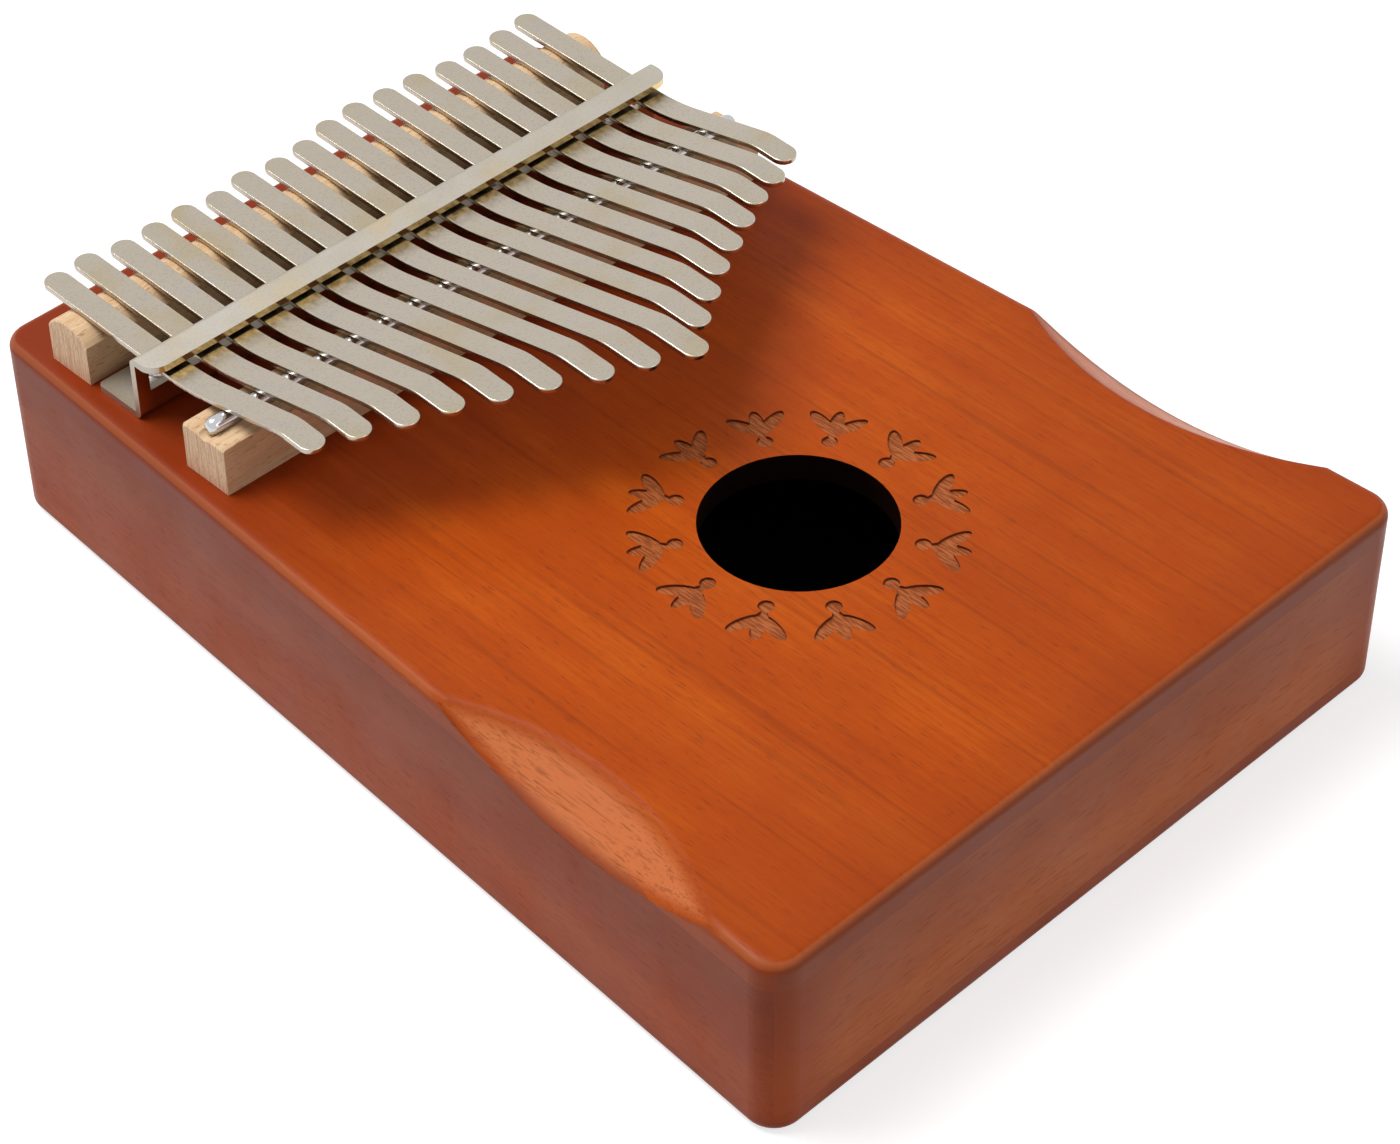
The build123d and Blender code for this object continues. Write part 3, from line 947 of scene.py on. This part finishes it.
def tongue(name, finish):
    """Cuts one blank, rounds its ends and rims, scores it where it bends, and folds it."""
    lo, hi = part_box(name)
    reach = rod_centre.y - lo.y
    share = (reach - shortest_reach) / reach_spread
    tip = short_tip + share * (long_tip - short_tip)
    bend_z = over_rod + (reach - tip) * tongue_rise
    line = folded_line(
        [(lo.y, bend_z - tip_drop), (lo.y + tip, bend_z), (sag_y, sag_height),
         (hi.y, sag_height + (hi.y - sag_y) * tail_rise)],
        [tip_bend, clamp_bend])
    length = line[-1][0]
    x = (lo.x + hi.x) / 2
    bpy.ops.object.select_all(action="DESELECT")
    bpy.ops.mesh.primitive_cube_add(size=1.0, location=(x, length / 2, tongue_sheet / 2),
                                    scale=(tongue_width, length, tongue_sheet))
    strip = bpy.context.object
    strip.name = name + "_folded"
    bpy.ops.object.transform_apply(location=True, rotation=True, scale=True)
    bpy.ops.object.mode_set(mode="EDIT")
    bpy.ops.mesh.select_mode(type="EDGE")
    bpy.ops.mesh.select_all(action="DESELECT")
    bpy.ops.object.mode_set(mode="OBJECT")
    for edge in strip.data.edges:
        ends = [strip.data.vertices[v].co for v in edge.vertices]
        edge.select = abs(ends[0].z - ends[1].z) > tongue_sheet / 2
    bpy.ops.object.mode_set(mode="EDIT")
    bpy.ops.mesh.bevel(offset=end_round, segments=10, affect="EDGES")
    bpy.ops.object.mode_set(mode="OBJECT")
    for edge in strip.data.edges:
        ends = [strip.data.vertices[v].co for v in edge.vertices]
        edge.select = abs(ends[0].z - ends[1].z) < tongue_sheet / 2
    bpy.ops.object.mode_set(mode="EDIT")
    bpy.ops.mesh.bevel(offset=tongue_edge, segments=3, affect="EDGES")
    evenly = {i * length / strip_parts for i in range(1, strip_parts)}
    marks = sorted({round(s[0], 6) for s in line} | evenly)
    for mark in marks:
        if tongue_edge < mark < length - tongue_edge:
            bpy.ops.mesh.select_all(action="SELECT")
            bpy.ops.mesh.bisect(plane_co=(x, mark, 0), plane_no=(0, 1, 0))
    bpy.ops.object.mode_set(mode="OBJECT")
    for vertex in strip.data.vertices:
        run, up = vertex.co.y, vertex.co.z
        k = max(i for i in range(len(line) - 1) if line[i][0] <= run + 1e-9)
        a, b = line[k], line[k + 1]
        t = (run - a[0]) / (b[0] - a[0]) if b[0] > a[0] else 0.0
        y, z, slope = (a[i] + (b[i] - a[i]) * t for i in (1, 2, 3))
        vertex.co = (vertex.co.x, y - up * math.sin(slope), z + up * math.cos(slope))
    bpy.ops.object.mode_set(mode="EDIT")
    bpy.ops.mesh.select_all(action="SELECT")
    bpy.ops.mesh.remove_doubles(threshold=weld)
    bpy.ops.mesh.normals_make_consistent(inside=False)
    bpy.ops.object.mode_set(mode="OBJECT")
    bpy.ops.object.shade_smooth_by_angle(angle=smooth_angle)
    flats = strip.modifiers.new("flats", "WEIGHTED_NORMAL")
    flats.keep_sharp = True
    bpy.ops.object.modifier_apply(modifier="flats")
    strip.data.materials.append(finish)
    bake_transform(strip)
    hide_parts(name)


tongue_metal, place, normal, metal, rough, bumped = nickel(
    "nickel_plate_on_spring_steel", "BAB0A1", 0.17, 0.27, 1)
facing = node(tongue_metal, "SeparateXYZ", {"Vector": normal}).node.outputs
split = node(tongue_metal, "SeparateXYZ", {"Vector": place}).node.outputs
lip_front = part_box("clamp")[0].y

# A painted reflection of the lip's shaded underside mottles the strips dark in the 5.5 mm in front of the lip,
# fading under it.
lip_reflection_and_shade = node(tongue_metal, "Math", {
    0: node(tongue_metal, "MapRange", {
        "Value": split["Y"], "From Min": lip_front - 5.5 * mm, "From Max": lip_front
    }, interpolation_type="SMOOTHSTEP"),
    1: node(tongue_metal, "MapRange", {
        "Value": split["Y"], "From Min": lip_front, "From Max": lip_front + 2 * mm, "To Min": 1.0,
        "To Max": 0.0
    }, interpolation_type="SMOOTHSTEP")
}, operation="MULTIPLY")
lip_reflection_and_shade = node(tongue_metal, "Math", {
    0: lip_reflection_and_shade,
    1: node(tongue_metal, "MapRange", {
        "Value": facing["Z"], "From Min": 0.5, "From Max": 0.8
    }, interpolation_type="SMOOTHSTEP")
}, operation="MULTIPLY")
lip_reflection_mottle = node(tongue_metal, "TexNoise", {
    "Vector": node(tongue_metal, "Mapping", {
        "Vector": place, "Scale": per((1.2 * mm, 1.6 * mm, 1.2 * mm))
    }),
    "Detail": 3.0, **even_noise
})
lip_reflection_and_shade = node(tongue_metal, "Math", {
    0: lip_reflection_and_shade,
    1: node(tongue_metal, "MapRange", {
        "Value": lip_reflection_mottle, "From Min": 0.35, "From Max": 0.65, "To Min": 0.35, "To Max": 1.0
    })
}, operation="MULTIPLY")
metal = node(tongue_metal, "Mix", {
    "Factor": node(tongue_metal, "Math", {0: lip_reflection_and_shade, 1: 0.9}, operation="MULTIPLY"), "A": metal,
    "B": linear("54442A")
}, out="Result", data_type="RGBA")
node(tongue_metal, "OutputMaterial", {
    "Surface": node(tongue_metal, "BsdfPrincipled", {
        "Base Color": metal, "Metallic": 1.0, "Roughness": rough, "Normal": bumped
    })
})
for number in range(1, 18):
    tongue(f"tongue_{number:02d}", tongue_metal)
